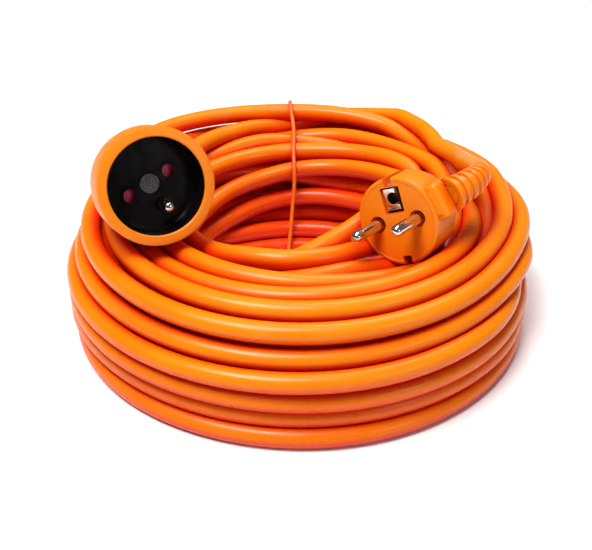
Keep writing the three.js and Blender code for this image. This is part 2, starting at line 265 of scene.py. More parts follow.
class WearAndPaintedShade:
    """The node group for soft patches of tone, painted shade in crevices, fine grain and fine scuffs."""

    NAME = "wear_and_painted_shade"

    @classmethod
    def group(cls) -> bpy.types.NodeTree:
        """The group, built the first time it is asked for."""
        if cls.NAME in bpy.data.node_groups:
            return bpy.data.node_groups[cls.NAME]
        tree = bpy.data.node_groups.new(cls.NAME, "ShaderNodeTree")
        for name in ("Tone", "Deep Tone", "Painted Crevice Shade"):
            new_socket(tree, name, "INPUT", "NodeSocketColor", (0.5, 0.5, 0.5, 1))
        numbers = (
            ("Patch Scale", 30), ("Patch Share", 0.5), ("Grain Scale", 900), ("Grain Depth", 0.1),
            ("Scuff Scale", 160), ("Scuff Share", 0.1), ("Rough Low", 0.3), ("Rough High", 0.45),
            ("Painted Shade Share", 0.5), ("Painted Shade Reach", 0.02),
        )
        for name, value in numbers:
            new_socket(tree, name, "INPUT", "NodeSocketFloat", float(value))
        new_socket(tree, "Colour", "OUTPUT", "NodeSocketColor")
        new_socket(tree, "Roughness", "OUTPUT", "NodeSocketFloat")
        new_socket(tree, "Normal", "OUTPUT", "NodeSocketVector")
        cls._wire(tree)
        return tree

    @staticmethod
    def _wire(tree: bpy.types.NodeTree) -> None:
        """Builds the group's inside."""
        new, link = tree.nodes.new, tree.links.new
        given, out, place = new("NodeGroupInput"), new("NodeGroupOutput"), new("ShaderNodeTexCoord")
        noises = {}
        kinds = (("patch", "Patch Scale", 3), ("grain", "Grain Scale", 2), ("scuff", "Scuff Scale", 5))
        for name, scale, detail in kinds:
            noise = new("ShaderNodeTexNoise")
            noise.inputs["Detail"].default_value = detail
            link(place.outputs["Object"], noise.inputs["Vector"])
            link(given.outputs[scale], noise.inputs["Scale"])
            noises[name] = noise
        noises["scuff"].inputs["Distortion"].default_value = 0.3

        patch = new("ShaderNodeMapRange")
        patch.inputs["From Min"].default_value = 0.35
        patch.inputs["From Max"].default_value = 0.68
        link(noises["patch"].outputs["Fac"], patch.inputs["Value"])
        link(given.outputs["Patch Share"], patch.inputs["To Max"])
        tone = new("ShaderNodeMix")
        tone.data_type = "RGBA"
        link(patch.outputs["Result"], tone.inputs["Factor"])
        link(given.outputs["Tone"], tone.inputs["A"])
        link(given.outputs["Deep Tone"], tone.inputs["B"])

        # Painted shade: where ambient occlusion finds crevices and hollows, the colour is mixed toward the
        # crevice shade colour.
        openness = new("ShaderNodeAmbientOcclusion")
        openness.samples = 6
        link(given.outputs["Painted Shade Reach"], openness.inputs["Distance"])
        painted_shade = new("ShaderNodeMapRange")
        painted_shade.inputs["From Min"].default_value = 0.92
        painted_shade.inputs["From Max"].default_value = 0.36
        link(openness.outputs["AO"], painted_shade.inputs["Value"])
        link(given.outputs["Painted Shade Share"], painted_shade.inputs["To Max"])
        painted_shade_mix = new("ShaderNodeMix")
        painted_shade_mix.data_type = "RGBA"
        link(painted_shade.outputs["Result"], painted_shade_mix.inputs["Factor"])
        link(tone.outputs["Result"], painted_shade_mix.inputs["A"])
        link(given.outputs["Painted Crevice Shade"], painted_shade_mix.inputs["B"])

        scuff = new("ShaderNodeMapRange")
        scuff.inputs["From Min"].default_value = 0.62
        scuff.inputs["From Max"].default_value = 0.78
        link(noises["scuff"].outputs["Fac"], scuff.inputs["Value"])
        link(given.outputs["Scuff Share"], scuff.inputs["To Max"])
        worn = new("ShaderNodeMix")
        worn.data_type = "RGBA"
        worn.inputs["B"].default_value = (0.93, 0.78, 0.62, 1)
        link(scuff.outputs["Result"], worn.inputs["Factor"])
        link(painted_shade_mix.outputs["Result"], worn.inputs["A"])
        link(worn.outputs["Result"], out.inputs["Colour"])

        rough = new("ShaderNodeMapRange")
        rough.inputs["From Min"].default_value = 0.3
        rough.inputs["From Max"].default_value = 0.7
        link(noises["scuff"].outputs["Fac"], rough.inputs["Value"])
        link(given.outputs["Rough Low"], rough.inputs["To Min"])
        link(given.outputs["Rough High"], rough.inputs["To Max"])
        link(rough.outputs["Result"], out.inputs["Roughness"])

        bump = new("ShaderNodeBump")
        bump.inputs["Distance"].default_value = 0.0003
        link(given.outputs["Grain Depth"], bump.inputs["Strength"])
        link(noises["grain"].outputs["Fac"], bump.inputs["Height"])
        link(bump.outputs["Normal"], out.inputs["Normal"])


@dataclass(frozen=True)
class Finish:
    """A surface finish: two tones, a third painted into its crevices as shade, grain, scuffs and gloss."""

    name: str
    slot: str
    tone: Colour
    deep: Colour
    rough: tuple[float, float] = (0.3, 0.45)
    patch_scale: float = 30
    patch_share: float = 0.5
    grain_scale: float = 900
    grain_depth: float = 0.1
    scuff_scale: float = 160
    scuff_share: float = 0.1
    # Painted shade: a colour, share and reach for darkening crevices found by ambient occlusion; by default a
    # quarter black goes into every crevice.
    painted_shade: Colour = (0, 0, 0, 1)
    painted_shade_share: float = 0.25
    painted_shade_reach: float = 0.01
    metallic: float = 0
    specular: float = 0.5

    def material(self) -> bpy.types.Material:
        """The finish's material, built the first time it is asked for."""
        if self.name in bpy.data.materials:
            return bpy.data.materials[self.name]
        material = bpy.data.materials.new(self.name)
        material.use_nodes = True
        nodes, link = material.node_tree.nodes, material.node_tree.links.new
        shader = nodes["Principled BSDF"]
        shader.inputs["Metallic"].default_value = self.metallic
        shader.inputs["Specular IOR Level"].default_value = self.specular
        wear_and_shade = nodes.new("ShaderNodeGroup")
        wear_and_shade.node_tree = WearAndPaintedShade.group()
        values = {
            "Tone": self.tone, "Deep Tone": self.deep, "Patch Scale": self.patch_scale,
            "Patch Share": self.patch_share, "Grain Scale": self.grain_scale,
            "Grain Depth": self.grain_depth, "Scuff Scale": self.scuff_scale,
            "Scuff Share": self.scuff_share, "Rough Low": self.rough[0], "Rough High": self.rough[1],
            "Painted Crevice Shade": self.painted_shade, "Painted Shade Share": self.painted_shade_share,
            "Painted Shade Reach": self.painted_shade_reach,
        }
        for name, value in values.items():
            wear_and_shade.inputs[name].default_value = value
        link(wear_and_shade.outputs["Colour"], shader.inputs["Base Color"])
        link(wear_and_shade.outputs["Roughness"], shader.inputs["Roughness"])
        link(wear_and_shade.outputs["Normal"], shader.inputs["Normal"])
        self.refine(material, shader, wear_and_shade)
        return material

    def refine(self, material: bpy.types.Material, shader: bpy.types.Node, wear_and_shade: bpy.types.Node) -> None:
        """Adds what only this finish has; a plain finish adds nothing."""

    def dress(self, piece: bpy.types.Object) -> None:
        """Gives a new piece or a CAD node this finish."""
        material = self.material()
        if piece.material_slots:
            for place in piece.material_slots:
                place.material = material
        else:
            piece.data.materials.append(material)


@dataclass(frozen=True)
class SheathFinish(Finish):
    """Extruded cord sheath, with faint lines that run along the cord."""

    line_count: float = 7
    line_depth: float = 0.25

    def refine(self, material: bpy.types.Material, shader: bpy.types.Node, wear_and_shade: bpy.types.Node) -> None:
        """Adds the drawn lines, which follow the cord's own length and girth."""
        nodes, link = material.node_tree.nodes, material.node_tree.links.new
        uv = nodes.new("ShaderNodeUVMap")
        uv.uv_map = "along"
        stretch = nodes.new("ShaderNodeMapping")
        stretch.inputs["Scale"].default_value = (14, self.line_count, 1)
        lines = nodes.new("ShaderNodeTexNoise")
        lines.inputs["Scale"].default_value = 1
        lines.inputs["Detail"].default_value = 4
        bump = nodes.new("ShaderNodeBump")
        bump.inputs["Strength"].default_value = self.line_depth
        bump.inputs["Distance"].default_value = 0.0006
        link(uv.outputs["UV"], stretch.inputs["Vector"])
        link(stretch.outputs["Vector"], lines.inputs["Vector"])
        link(lines.outputs["Fac"], bump.inputs["Height"])
        link(wear_and_shade.outputs["Normal"], bump.inputs["Normal"])
        link(bump.outputs["Normal"], shader.inputs["Normal"])


@dataclass(frozen=True)
class TwoToneFinish(Finish):
    """Core insulation with a second colour along it."""

    second: Colour = (0.75, 0.6, 0.02, 1)

    def refine(self, material: bpy.types.Material, shader: bpy.types.Node, wear_and_shade: bpy.types.Node) -> None:
        """Adds the second colour in stripes."""
        nodes, link = material.node_tree.nodes, material.node_tree.links.new
        place = nodes.new("ShaderNodeTexCoord")
        wave = nodes.new("ShaderNodeTexWave")
        wave.inputs["Scale"].default_value = 120
        steep = nodes.new("ShaderNodeMapRange")
        steep.inputs["From Min"].default_value = 0.45
        steep.inputs["From Max"].default_value = 0.55
        mix = nodes.new("ShaderNodeMix")
        mix.data_type = "RGBA"
        mix.inputs["B"].default_value = self.second
        link(place.outputs["Object"], wave.inputs["Vector"])
        link(wave.outputs["Fac"], steep.inputs["Value"])
        link(steep.outputs["Result"], mix.inputs["Factor"])
        link(wear_and_shade.outputs["Colour"], mix.inputs["A"])
        link(mix.outputs["Result"], shader.inputs["Base Color"])


# The sheath's painted shade is a deep red, mixed almost fully wherever ambient occlusion finds turns close
# within 10 cm, so gaps between turns and the hole look dark red.
SHEATH = SheathFinish(
    "sheath_orange", "orange_sheath", (0.83, 0.24, 0.0005, 1), (0.8, 0.17, 0.0005, 1), rough=(0.24, 0.36),
    patch_scale=22, patch_share=0.7, grain_scale=700, grain_depth=0.05, scuff_scale=70, scuff_share=0.02,
    painted_shade=(0.7, 0.018, 0.0005, 1), painted_shade_share=0.97, painted_shade_reach=0.1, specular=0.25,
)
SHEATH_END = Finish(
    "sheath_end_orange", "orange_sheath", (0.83, 0.24, 0.0005, 1), (0.8, 0.17, 0.0005, 1), rough=(0.24, 0.36),
    specular=0.25,
)
# The moulding's painted shade is a deep red mixed into its recesses and where it meets the cord.
MOULDED = Finish(
    "moulded_orange", "orange_pvc", (0.8, 0.21, 0.0005, 1), (0.77, 0.18, 0.0005, 1), rough=(0.32, 0.44),
    patch_scale=45, patch_share=0.5, grain_scale=1600, grain_depth=0.12, scuff_scale=240, scuff_share=0.03,
    painted_shade=(0.8, 0.04, 0.0005, 1), painted_shade_share=0.8, painted_shade_reach=0.012, specular=0.35,
)
BLACK = Finish(
    "insert_black", "black_insert", (0.0035, 0.0025, 0.003, 1), (0.008, 0.005, 0.005, 1), rough=(0.12, 0.24),
    grain_scale=1200, grain_depth=0.06, scuff_share=0.003, specular=0.2,
)
PIVOT_GREY = Finish(
    "pivot_grey", "grey_moulding", (0.1, 0.095, 0.1, 1), (0.006, 0.005, 0.006, 1), rough=(0.3, 0.55),
    patch_scale=1300, patch_share=1.0, grain_scale=1500, grain_depth=0.9, scuff_scale=1800, scuff_share=0.25,
)
CARRIER_GREY = Finish(
    "carrier_grey", "grey_moulding", (0.06, 0.06, 0.065, 1), (0.04, 0.04, 0.042, 1), rough=(0.45, 0.6),
)
CRIMSON = Finish(
    "shutter_crimson", "red_shutter", (1.0, 0.03, 0.14, 1), (0.9, 0.02, 0.1, 1), rough=(0.3, 0.45),
    patch_scale=300, scuff_share=0.02, painted_shade_share=0,
)
NICKEL = Finish(
    "pin_nickel", "nickel", (0.7, 0.69, 0.67, 1), (0.55, 0.54, 0.52, 1), rough=(0.08, 0.17), metallic=1,
    patch_scale=220, patch_share=0.4, grain_scale=2600, grain_depth=0.03, scuff_scale=420, scuff_share=0.05,
)
BRASS = Finish(
    "contact_brass", "brass", (0.72, 0.5, 0.18, 1), (0.6, 0.4, 0.13, 1), rough=(0.2, 0.34), metallic=1,
)
STEEL = Finish(
    "spring_steel", "spring_steel", (0.6, 0.6, 0.6, 1), (0.48, 0.48, 0.49, 1), rough=(0.2, 0.36), metallic=1,
    scuff_share=0.04,
)
TIE_COATING = Finish(
    "tie_orange", "tie_wire", (0.86, 0.15, 0.006, 1), (0.72, 0.1, 0.004, 1), rough=(0.4, 0.55),
    patch_scale=90, grain_scale=1500, grain_depth=0.2,
)
CORE_BROWN = Finish("core_brown", "core_brown", (0.12, 0.045, 0.02, 1), (0.09, 0.03, 0.012, 1))
CORE_BLUE = Finish("core_blue", "core_blue", (0.02, 0.12, 0.55, 1), (0.015, 0.09, 0.42, 1))
CORE_EARTH = TwoToneFinish(
    "core_green_yellow", "core_green_yellow", (0.04, 0.33, 0.03, 1), (0.03, 0.27, 0.02, 1),
)


def finish_piece(piece: bpy.types.Object, finish: Finish, stands_for: Iterable[str] = ()) -> bpy.types.Object:
    """Dresses a new piece, and fixes it to the cord set.

    Args:
        piece: The finished piece.
        finish: What it is made of.
        stands_for: The CAD nodes it replaces.

    Returns:
        The piece.
    """
    finish.dress(piece)
    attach(piece, BODY)
    nodes = list(stands_for)
    if nodes:
        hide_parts(*nodes)
    LOG.info("%s: %d faces", piece.name, len(piece.data.polygons))
    return piece


# ---------------------------------------------------------------- camera, floor and light


@dataclass(frozen=True)
class Studio:
    """The camera, a pale floor and soft light."""

    elevation: float = 33.5
    distance: float = 0.455
    sensor: float = 36
    focal_share: float = 950 / 592
    aim_right: float = -0.0063
    aim_up: float = 0.0267
    floor_side: float = 2.0
    room_light: float = 0.12

    def build(self) -> None:
        """Makes everything that isn't the object."""
        self._camera()
        self._floor()
        self._lights()

    def _camera(self) -> None:
        """Looks down at the coil from the front."""
        tilt = math.radians(self.elevation)
        back = Vector((0, -math.cos(tilt), math.sin(tilt)))
        right = Vector((1, 0, 0))
        up = Vector((0, math.sin(tilt), math.cos(tilt)))
        aim = (-back + right * self.aim_right + up * self.aim_up).normalized()
        data = bpy.data.cameras.new("camera")
        data.sensor_width = self.sensor
        data.lens = self.sensor * self.focal_share
        data.clip_start = 0.01
        camera = bpy.data.objects.new("camera", data)
        camera.location = back * self.distance
        camera.rotation_euler = aim.to_track_quat("-Z", "Y").to_euler()
        bpy.context.scene.collection.objects.link(camera)
        bpy.context.scene.camera = camera

    def _floor(self) -> None:
        """Lays a plain pale floor."""
        deselect_all()
        bpy.ops.mesh.primitive_plane_add(size=self.floor_side, location=(0, 0, 0))
        floor = bpy.context.object
        floor.name = "floor"
        material = bpy.data.materials.new("floor_pale")
        material.use_nodes = True
        shader = material.node_tree.nodes["Principled BSDF"]
        shader.inputs["Base Color"].default_value = (0.93, 0.93, 0.93, 1)
        shader.inputs["Roughness"].default_value = 0.9
        shader.inputs["Specular IOR Level"].default_value = 0.1
        floor.data.materials.append(material)

    def _lights(self) -> None:
        """Hangs three soft lights and lights the room."""
        # name, place in metres, side in metres and power in watts
        soft_boxes = (
            ("key", (-0.3, -0.35, 1.15), 0.5, 19),
            ("top", (0.25, 0.5, 1.1), 0.5, 6),
            ("fill", (0.9, -0.9, 0.6), 0.4, 2),
        )
        for name, at, size, power in soft_boxes:
            data = bpy.data.lights.new(name, "AREA")
            data.shape = "SQUARE"
            data.size = size
            data.energy = power
            light = bpy.data.objects.new(name, data)
            light.location = at
            light.rotation_euler = (-Vector(at)).to_track_quat("-Z", "Y").to_euler()
            bpy.context.scene.collection.objects.link(light)
        self._room()
        bpy.context.scene.view_settings.view_transform = "Standard"

    def _room(self) -> None:
        """Makes the room white behind the floor, and dim as a source of light."""
        world = bpy.data.worlds.new("room")
        world.use_nodes = True
        new, link = world.node_tree.nodes.new, world.node_tree.links.new
        background = world.node_tree.nodes["Background"]
        background.inputs["Color"].default_value = (1, 1, 1, 1)
        seen, strength = new("ShaderNodeLightPath"), new("ShaderNodeMapRange")
        strength.inputs["To Min"].default_value = self.room_light
        link(seen.outputs["Is Camera Ray"], strength.inputs["Value"])
        link(strength.outputs["Result"], background.inputs["Strength"])
        bpy.context.scene.world = world


# ---------------------------------------------------------------- the cord


def through(points: Sequence[Point], steps: int = 24) -> np.ndarray:
    """A centripetal curve through points.

    Args:
        points: The points, in order.
        steps: Samples between two points.

    Returns:
        The samples, one to a row.
    """
    p = np.array(points, float)
    p = np.vstack([2 * p[0] - p[1], p, 2 * p[-1] - p[-2]])
    rows = []
    for i in range(1, len(p) - 2):
        a, b, c, d = p[i - 1:i + 3]
        t1 = np.linalg.norm(b - a) ** 0.5
        t2 = t1 + np.linalg.norm(c - b) ** 0.5
        t3 = t2 + np.linalg.norm(d - c) ** 0.5
        for t in np.linspace(t1, t2, steps, endpoint=i == len(p) - 3):
            ab = a + (b - a) * t / t1
            bc = b + (c - b) * (t - t1) / (t2 - t1)
            cd = c + (d - c) * (t - t2) / (t3 - t2)
            abc = ab + (bc - ab) * t / t2
            bcd = bc + (cd - bc) * (t - t1) / (t3 - t1)
            rows.append(abc + (bcd - abc) * (t - t1) / (t2 - t1))
    return np.array(rows)


def ease(low: float, high: float, x: np.ndarray) -> np.ndarray:
    """A smooth rise from 0 at low to 1 at high.

    Args:
        low: Where the rise starts.
        high: Where it ends.
        x: The values to ease.

    Returns:
        A share from 0 to 1 for each value.
    """
    t = np.clip((x - low) / (high - low), 0, 1)
    return t * t * (3 - 2 * t)


@dataclass(frozen=True)
class Keepout:
    """A round body that the coil's turns stay clear of, in millimetres."""

    place: Place
    outline: Sequence[Point]


@dataclass
class CordWinding:
    """The cord's centre line: the socket's lead, the hand-wound turns, and the plug's lead.

    Each turn crosses a radial section of the coil at a slot of its own. The turns are then let
    settle: they straighten themselves, push each other a diameter apart, and rest on the floor.
    Sizes are in millimetres and angles in degrees.
    """

    diameter: float = 8.6
    slices: int = 72
    rounds: int = 260
    seed: int = 1
    wander: float = 4.6
    outer: float = 102.2
    inner: float = 54.3
    inner_when_led: float = 20
    right_inset: float = 3.6
    ring_step: float = 4.6
    lead_until: float = 150
    tail_from: float = -22
    slot_gap: float = 8.7
    slot_rounds: int = 600
    slack_at_back: float = 16
    droop: float = 0.03
    most_push: float = 2
    # how strongly a slice is drawn to its home: a plain one, and those that are led along listed points
    pull_plain: float = 0.03
    pull_lead: float = 0.25
    pull_foot: float = 0.5
    pull_corner: float = 0.6
    pull_crossing: float = 0.8

    socket_lead = (
        (-85.3, 24.3, 56.2), (-89.7, 34.8, 52.3), (-90.5, 47, 50.8), (-86, 59, 52.5), (-77.5, 68.5, 55),
        (-66, 75.5, 57.3), (-52, 81, 58.8), (-36, 85.2, 59.6), (-19, 87.8, 59.8), (-2, 88.5, 59.8),
        (15, 87.2, 59.4), (31.5, 83, 58.4), (46.5, 75.5, 56.5),
    )
    plug_lead = (
        (58.8, -41.3, 77.7), (66.5, -35.3, 79.5), (71.9, -27, 79.4), (74.1, -17.5, 77.5), (73.6, -7, 74),
        (72.8, 5, 70), (72, 17.5, 66.2), (70, 30, 63), (65.5, 43, 60.8),
    )
    plug_sleeve: float = 22.3
    # slots of the turns that show, as radius and height at the front: outside, top, then inside
    outside = (
        (102, 4.4), (96.5, 13), (101.8, 21), (100.5, 30.8), (94.8, 37.8), (89, 44.6), (81, 48.6),
        (71.5, 49.6), (62.5, 50.6), (55, 55), (54.6, 45.5), (54.4, 33), (54.4, 24), (54.4, 14.5), (54.6, 4.4),
    )
    first_slot: int = 3
    last_slot: int = 9
    crossing_slot: int = 10
    corner_slot: int = 11
    foot_slot: int = 14
    # where three turns are led along listed points, as azimuth, radius and height
    leaving_socket = ((58, 88.7, 56.3), (50, 85, 55.6), (40, 79, 54.2), (30, 72, 52), (20, 66, 50))
    reaching_plug = (
        (33.4, 78.4, 60.8), (38, 82, 60.6), (45, 86.5, 60), (52, 90, 59.3), (58, 92.6, 59), (64.4, 94.5, 58),
        (71, 97.5, 56), (78, 100, 52), (90, 101.5, 44),
    )
    top_inside = (
        (-160, 54.5, 44), (-145, 53, 47), (-120, 50, 50.5), (-90, 48, 51.5), (-72, 45.5, 51),
        (-60, 41.5, 49.5), (-48, 39.5, 47), (-30, 43.5, 44.5), (-10, 50, 42), (10, 54.5, 40),
    )
    # one turn cuts across the hole's right end and one fills the corner under it, as x, y and z
    crossing = (
        (49, 33, 49), (53, 21, 53), (51.5, 8, 55.5), (46, -2.5, 56.5), (36, -11.5, 56.5), (26.5, -20, 55.5),
        (19.5, -28.5, 54.5), (12, -34.5, 52.5), (3, -39, 50), (-9, -43, 46), (-22, -46, 42), (-36, -45, 38),
    )
    filling_corner = (
        (56, 3, 39), (53.5, -13, 41), (47.5, -26, 42), (39.5, -35.5, 42), (33, -40.5, 43.5),
        (26.5, -45, 46.5), (17, -50, 48), (5, -53, 47.5), (-8, -54, 46), (-22, -51, 43),
    )
    # the two lowest turns lie further in at the hole's back, as azimuth, radius and height
    hole_foot = ((35, 53, 4.4), (60, 47, 4.4), (90, 44, 4.4), (120, 47, 4.4), (145, 53, 4.4))
    above_foot = ((35, 54, 13.5), (60, 51, 12), (90, 49, 11.5), (120, 51, 12), (145, 54, 13.5))
    keepouts = (
        Keepout(SOCKET_PLACE, (
            (0, 24.1), (15, 24.1), (22, 23.1), (30, 20.6), (38, 17.1), (45, 14.4), (52, 13.4), (52.5, 8.2),
            (76, 5.6), (80, 5),
        )),
        Keepout(PLUG_PLACE, ((0, 18.5), (14, 18.5), (18.5, 17), (20, 14.2))),
    )

    def centre_line(self) -> np.ndarray:
        """Winds the cord.

        Returns:
            Points along its centre from the socket's sleeve to the plug's, in metres.
        """
        rng = np.random.default_rng(self.seed)
        lead, tail = through(self.socket_lead), through(self.plug_lead)
        slots, order = self._slots(rng)
        self._lay_out(lead, tail, len(order))
        home, pull, led = self._homes(slots, order, rng)
        self._settle(home, pull, led)
        turn = np.radians(self.azimuth)
        radius, height = self.at.T
        coil = np.stack([radius * np.cos(turn), radius * np.sin(turn), height], -1)
        first, last = self.leads
        run = np.linalg.norm(np.diff(tail, axis=0), axis=1)
        free = np.concatenate([[0], np.cumsum(run)]) >= self.plug_sleeve
        points = np.vstack([lead[::8], coil[first + 1:last], tail[free][::-1][::8], tail[free][:1]])
        return self._even(points) * MM

    def _slots(self, rng: np.random.Generator) -> tuple[np.ndarray, list[int]]:
        """Packs the section with slots and chooses the order in which they are wound.

        Args:
            rng: The source of chance.

        Returns:
            The slots, as radius and height, and the order of the turns.
        """
        slots = [np.array(p, float) for p in self.outside]
        shown = len(slots)
        rows = []
        for column, radius in enumerate(np.arange(55, 103, 7.3)):
            low = 4.4 + (4.3 if column % 2 else 0)
            rows += [np.array([radius, z]) for z in np.arange(low, 52, 8.5)]
        for spot in sorted(rows, key=lambda p: (p[1], p[0])):
            roof = np.interp(spot[0], [50, 62, 84, 92, 99, 102.2], [44, 44, 43, 38, 28, 22])
            if spot[1] <= roof and min(np.linalg.norm(spot - p) for p in slots) > 6.3:
                slots.append(spot)
        at = np.array(slots)
        for _ in range(self.slot_rounds):
            apart = at[:, None] - at[None]
            gap = np.linalg.norm(apart, axis=-1) + np.eye(len(at)) * 1e3
            push = np.clip(self.slot_gap - gap, 0, None)
            shift = ((apart / gap[..., None]) * push[..., None]).sum(1) * 0.25
            shift[:shown] *= 0.2
            at += shift
            at[:, 1] = np.maximum(at[:, 1], self.diameter / 2)
            at[:, 0] = np.clip(at[:, 0], self.inner, self.outer)
        left = [i for i in range(len(at)) if i not in (self.first_slot, self.last_slot)]
        order = [self.first_slot]
        while left:
            here = at[order[-1]]
            cost = [
                np.linalg.norm(at[i] - here) + 0.55 * (102 - at[i][0]) + rng.random() * 6 for i in left
            ]
            order.append(left.pop(int(np.argmin(cost))))
        return at, [*order, self.last_slot]

    def _lay_out(self, lead: np.ndarray, tail: np.ndarray, turns: int) -> None:
        """Sets up the slices and holds both leads where they are.

        Args:
            lead: The socket lead's points.
            tail: The plug lead's points.
            turns: Turns between the two leads.
        """
        step = 360 / self.slices
        lead_turn = np.degrees(np.arctan2(lead[:, 1], lead[:, 0]))
        tail_turn = np.degrees(np.arctan2(tail[:, 1], tail[:, 0]))
        self.start = lead_turn[-1]
        ahead = int((self.lead_until - self.start) / step)
        behind = int((tail_turn[-1] - self.tail_from) / step)
        count = ahead + turns * self.slices + 5 + behind + 1
        self.azimuth = self.start + ahead * step - step * np.arange(count)
        self.at = np.zeros((count, 2))
        self.held = np.zeros(count, bool)
        self.leads = (ahead, count - 1 - behind)
        used = lead_turn <= self.lead_until
        self._hold(slice(0, ahead + 1), self.azimuth[:ahead + 1], lead_turn[used], lead[used])
        used = tail_turn >= self.tail_from
        last = count - 1 - behind
        late = self.azimuth[last:] - self.azimuth[last] + tail_turn[-1]
        self._hold(slice(last, count), late, tail_turn[used], tail[used])

    def _hold(self, where: slice, azimuth: np.ndarray, turns: np.ndarray, points: np.ndarray) -> None:
        """Holds some slices on a lead.

        Args:
            where: The slices.
            azimuth: Where each of them lies.
            turns: The azimuth of each of the lead's points.
            points: The lead's points.
        """
        rank = np.argsort(turns)
        radius = np.hypot(points[:, 0], points[:, 1])
        self.at[where, 0] = np.interp(azimuth, turns[rank], radius[rank])
        self.at[where, 1] = np.interp(azimuth, turns[rank], points[rank, 2])
        self.held[where] = True

    def _homes(
        self, slots: np.ndarray, order: list[int], rng: np.random.Generator,
    ) -> tuple[np.ndarray, np.ndarray, np.ndarray]:
        """Chooses where each slice would like to be.

        Args:
            slots: The slots, as radius and height.
            order: The order of the turns.
            rng: The source of chance.

        Returns:
            Each slice's home, how strongly it is drawn there, and whether it is led along listed points.
        """
        turns = (self.start - self.azimuth) / 360
        front = (self.start + 90) / 360
        home = np.repeat(slots[order[:1]], len(turns), 0)
        for j in range(len(order) - 1):
            middle = front + j + 0.5 + rng.uniform(-0.3, 0.3)
            half = rng.uniform(0.25, 0.6) / 2
            moved = ease(middle - half, middle + half, turns)[:, None]
            home += (slots[order[j + 1]] - slots[order[j]]) * moved
        behind = 0.5 * (1 + np.sin(np.radians(self.azimuth)))
        inside = np.clip((102 - home[:, 0]) / 47, 0, 1)
        home[:, 0] += self.slack_at_back * ease(12, 52, home[:, 1]) * inside * behind
        for axis, share in ((0, 0.9), (1, 0.8)):
            for pace in (0.37, 0.83, 1.31, 2.17):
                swing = self.wander * share * rng.normal() * 0.5
                home[:, axis] += swing * np.sin(2 * np.pi * (pace * turns + rng.random()))
        pull = np.full(len(turns), self.pull_plain)
        led = np.zeros(len(turns), bool)
        across, corner = (
            [(math.degrees(math.atan2(y, x)), math.hypot(x, y), z) for x, y, z in path]
            for path in (self.crossing, self.filling_corner)
        )
        led_turns = (
            (0, self.leaving_socket, self.pull_lead),
            (order.index(self.crossing_slot), across, self.pull_crossing),
            (order.index(self.corner_slot), corner, self.pull_corner),
            (len(order) - 1, self.top_inside, self.pull_corner),
            (order.index(self.foot_slot), self.hole_foot, self.pull_foot),
            (order.index(self.foot_slot - 1), self.above_foot, self.pull_foot),
            (len(order), self.reaching_plug, self.pull_lead),
        )
        for turn, path, strength in led_turns:
            spots = np.array(sorted(path))
            azimuth = self.azimuth + 360 * turn
            here = (azimuth <= spots[-1, 0]) & (azimuth >= spots[0, 0]) & ~self.held
            for axis in (0, 1):
                home[here, axis] = np.interp(azimuth[here], spots[:, 0], spots[:, axis + 1])
            led |= here
            pull[here] = strength
        return home, pull, led

    def _settle(self, home: np.ndarray, pull: np.ndarray, led: np.ndarray) -> None:
        """Lets the turns straighten, part and come to rest.

        Args:
            home: Where each slice would like to be.
            pull: How strongly it is drawn there.
            led: Which slices are led along listed points.
        """
        free = ~self.held
        kept = self.at.copy()
        at = np.where(free[:, None], home, self.at)
        spare = (-len(at)) % self.slices
        per_slice = (len(at) + spare) // self.slices
        inner = np.where(led, self.inner_when_led, self.inner)
        outer = self.outer - self.right_inset * np.clip(np.cos(np.radians(self.azimuth)), 0, 1) ** 2
        far = np.full((spare, 2), 1e4)
        for k in range(self.rounds):
            late = k / self.rounds
            firm = pull * (1 if late < 0.6 else 0.5)
            at[free] += (firm[:, None] * (home - at))[free]
            at[free, 1] -= self.droop
            for _ in range(2 if late < 0.8 else 3):
                even = at.copy()
                even[1:-1] = 0.5 * at[1:-1] + 0.25 * (at[:-2] + at[2:])
                at[free] = even[free]
            for _ in range(3):
                section = np.vstack([at, far]).reshape(per_slice, self.slices, 2).transpose(1, 0, 2)
                apart = section[:, :, None, :] - section[:, None, :, :]
                gap = np.linalg.norm(apart, axis=-1) + np.eye(per_slice)[None] * 1e3
                push = np.clip(self.diameter - gap, 0, None)[..., None]
                shift = (apart / np.maximum(gap, 1e-3)[..., None] * push * 0.5).sum(2) * 0.6
                shift = shift.transpose(1, 0, 2).reshape(-1, 2)[:len(at)]
                size = np.linalg.norm(shift, axis=1, keepdims=True)
                at[free] += (shift * np.minimum(1, self.most_push / np.maximum(size, 1e-9)))[free]
                at[free, 0] = np.clip(at[free, 0], inner[free], outer[free])
                at[free, 1] = np.maximum(at[free, 1], self.diameter / 2)
                self._keep_out(at, free)
                at[self.held] = kept[self.held]
        self.at = at

    def _keep_out(self, at: np.ndarray, free: np.ndarray) -> None:
        """Pushes turns out of the plug and the socket.

        Args:
            at: Each slice's radius and height, which change.
            free: Which slices may move.
        """
        turn = np.radians(self.azimuth)
        across, along = np.cos(turn), np.sin(turn)
        points = np.stack([at[:, 0] * across, at[:, 0] * along, at[:, 1]], -1)
        for body in self.keepouts:
            facing = np.array(body.place.facing)
            outline = np.array(body.outline)
            offset = points - np.array(body.place.origin)
            depth = -(offset @ facing)
            offset = offset + depth[:, None] * facing
            reach = np.linalg.norm(offset, axis=1)
            need = np.interp(depth, outline[:, 0], outline[:, 1]) + self.diameter / 2
            hit = (depth > -3) & (depth < outline[-1, 0] + 3) & (reach < need) & free
            push = (need - reach)[hit, None] * offset[hit] / np.maximum(reach[hit, None], 1e-6)
            at[hit, 0] += push[:, 0] * across[hit] + push[:, 1] * along[hit]
            at[hit, 1] += push[:, 2]

